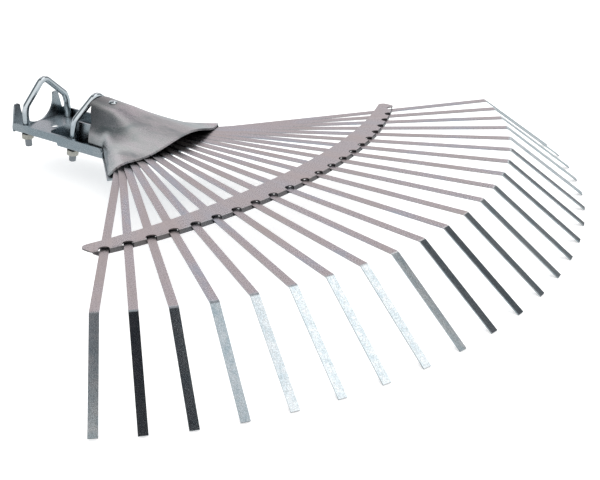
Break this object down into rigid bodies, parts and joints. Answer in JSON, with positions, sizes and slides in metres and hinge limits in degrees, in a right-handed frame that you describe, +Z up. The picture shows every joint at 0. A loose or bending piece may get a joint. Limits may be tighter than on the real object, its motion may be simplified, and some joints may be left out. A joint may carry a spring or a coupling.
{
  "type": "leaf rake head",
  "caption": "Leaf rake head: fan of flat spring steel tines with bent-down tips, spreader bar, pressed hood and a U-bolt handle clamp.",
  "frame": {"origin": "on the handle axis, at the outer face of the notched end wall", "axes": "+X from the handle towards the tines, +Y across the fan, +Z up with the tine tips bent down"},
  "size_m": [0.404, 0.481, 0.0646],
  "materials": {
    "spring_steel": "bright zinc plate with a faint pink and blue tint",
    "zinc_sheet": "zinc plate, lightly mottled",
    "zinc_bolt": "bright zinc plate",
    "zinc_nut": "zinc plate, slightly yellow",
    "steel_rivet": "zinc plate"
  },
  "bodies": {
    "head": {"hood": "zinc_sheet", "lower_plate": "zinc_sheet", "clamp_bracket": "zinc_sheet", "handle_cradle": "zinc_sheet", "tine_retainer": "zinc_sheet", "retainer_rivets": "steel_rivet", "crown_rivet": "steel_rivet", "spreader_bar": "zinc_sheet", "tine_01": "spring_steel", "tine_02": "spring_steel", "tine_03": "spring_steel", "tine_04": "spring_steel", "tine_05": "spring_steel", "tine_06": "spring_steel", "tine_07": "spring_steel", "tine_08": "spring_steel", "tine_09": "spring_steel", "tine_10": "spring_steel", "tine_11": "spring_steel", "tine_12": "spring_steel", "tine_13": "spring_steel", "tine_14": "spring_steel", "tine_15": "spring_steel", "tine_16": "spring_steel", "tine_17": "spring_steel", "tine_18": "spring_steel", "tine_19": "spring_steel", "tine_20": "spring_steel", "tine_21": "spring_steel", "tine_22": "spring_steel"},
    "rear_ubolt": {"rear_ubolt": "zinc_bolt"},
    "front_ubolt": {"front_ubolt": "zinc_bolt"},
    "rear_nut_left": {"rear_nut_left": "zinc_nut"},
    "rear_nut_right": {"rear_nut_right": "zinc_nut"},
    "front_nut_left": {"front_nut_left": "zinc_nut"},
    "front_nut_right": {"front_nut_right": "zinc_nut"}
  },
  "joints": [
    {"name": "rear_ubolt_slide", "type": "slide", "parent": "head", "child": "rear_ubolt", "axis": [0, 0, 1], "range_m": [-0.009, 0.004]},
    {"name": "rear_nut_left_turn", "type": "hinge", "parent": "head", "child": "rear_nut_left", "pos_m": [0.0112, 0.02, -0.01922], "axis": [0, 0, 1], "range_deg": [-1805, 4055]},
    {"name": "rear_nut_right_turn", "type": "hinge", "parent": "head", "child": "rear_nut_right", "pos_m": [0.0112, -0.02, -0.01922], "axis": [0, 0, 1], "range_deg": [-1805, 4055]},
    {"name": "front_ubolt_slide", "type": "slide", "parent": "head", "child": "front_ubolt", "axis": [0.1822, 0, 0.9833], "range_m": [-0.0011, 0.0012]},
    {"name": "front_nut_left_turn", "type": "hinge", "parent": "head", "child": "front_nut_left", "pos_m": [0.05754, 0.02, -0.0215], "axis": [0.1822, 0, 0.9833], "range_deg": [-545, 500]},
    {"name": "front_nut_right_turn", "type": "hinge", "parent": "head", "child": "front_nut_right", "pos_m": [0.05754, -0.02, -0.0215], "axis": [0.1822, 0, 0.9833], "range_deg": [-545, 500]}
  ],
  "couplings": [
    {"joint": "rear_nut_left_turn", "follows": "rear_ubolt_slide", "rad_per_m": -7854},
    {"joint": "rear_nut_right_turn", "follows": "rear_ubolt_slide", "rad_per_m": -7854},
    {"joint": "front_nut_left_turn", "follows": "front_ubolt_slide", "rad_per_m": -7854},
    {"joint": "front_nut_right_turn", "follows": "front_ubolt_slide", "rad_per_m": -7854}
  ]
}
